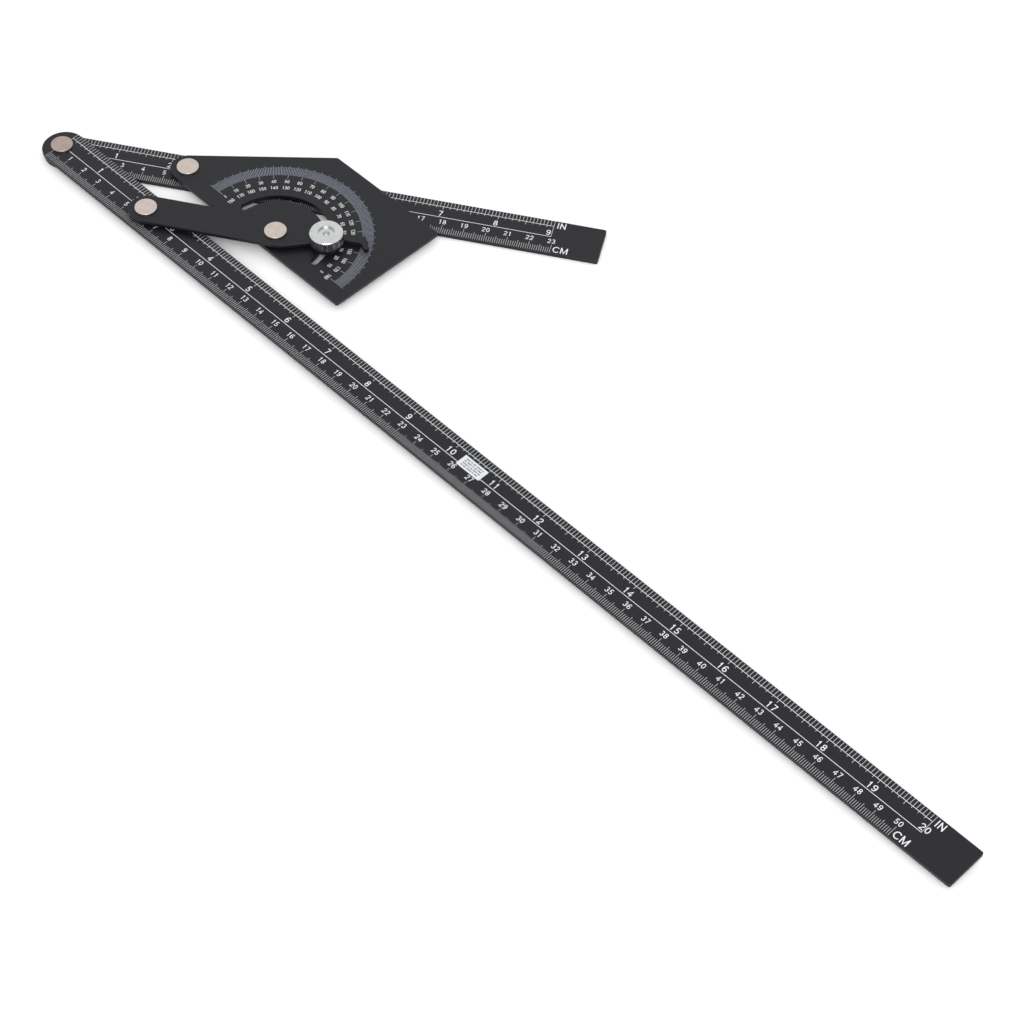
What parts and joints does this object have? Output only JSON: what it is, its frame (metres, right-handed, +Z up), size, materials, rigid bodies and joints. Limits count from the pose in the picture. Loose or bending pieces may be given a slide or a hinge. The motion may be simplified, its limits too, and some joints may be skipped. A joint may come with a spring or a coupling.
{
  "type": "folding angle rule",
  "caption": "Folding angle rule: long and short graduated arms on a pivot, held at an angle by a slotted protractor plate, a link with a pointer and a knurled lock nut.",
  "frame": {"origin": "on the apex rivet's axis, level with the short arm's underside, which rests on the table", "axes": "+X along the long arm from the apex, +Y towards the short arm, +Z up"},
  "size_m": [0.5387, 0.1516, 0.0133],
  "materials": {
    "black_anodised": "black anodised aluminium sheet, satin, white filled graduations",
    "rivet_nickel": "nickel plated steel rivet, satin",
    "washer_nylon": "dark nylon friction washer",
    "bolt_steel": "zinc plated steel",
    "nut_zinc": "zinc plated steel with a straight knurl",
    "label_white": null
  },
  "bodies": {
    "long_arm": {"long_arm": "black_anodised", "apex_rivet": "rivet_nickel", "link_rivet": "rivet_nickel", "link_washer": "washer_nylon", "label": "label_white"},
    "short_arm": {"short_arm": "black_anodised", "plate_rivet": "rivet_nickel", "apex_washer": "washer_nylon", "plate_washer": "washer_nylon"},
    "protractor": {"protractor_plate": "black_anodised", "centre_rivet": "rivet_nickel", "centre_washer": "washer_nylon"},
    "link": {"link_bar": "black_anodised", "lock_bolt": "bolt_steel", "lock_washer": "washer_nylon"},
    "nut": {"thumb_nut": "nut_zinc"}
  },
  "joints": [
    {"name": "apex_hinge", "type": "hinge", "parent": "long_arm", "child": "short_arm", "pos_m": [0, 0, 0], "axis": [0, 0, 1], "range_deg": [-14, 130]},
    {"name": "link_pivot", "type": "hinge", "parent": "long_arm", "child": "link", "pos_m": [0.06, 0, 0], "axis": [0, 0, 1], "range_deg": [-14, 130]},
    {"name": "plate_pivot", "type": "hinge", "parent": "short_arm", "child": "protractor", "pos_m": [0.05088, 0.0318, 0], "axis": [0, 0, 1], "range_deg": [-130, 14]},
    {"name": "lock_nut_turn", "type": "hinge", "parent": "link", "child": "nut", "pos_m": [0.13081, 0.04425, 0], "axis": [0, 0, 1], "range_deg": [0, 360]}
  ],
  "couplings": [
    {"joint": "link_pivot", "follows": "apex_hinge", "ratio": 1},
    {"joint": "plate_pivot", "follows": "apex_hinge", "ratio": -1}
  ]
}
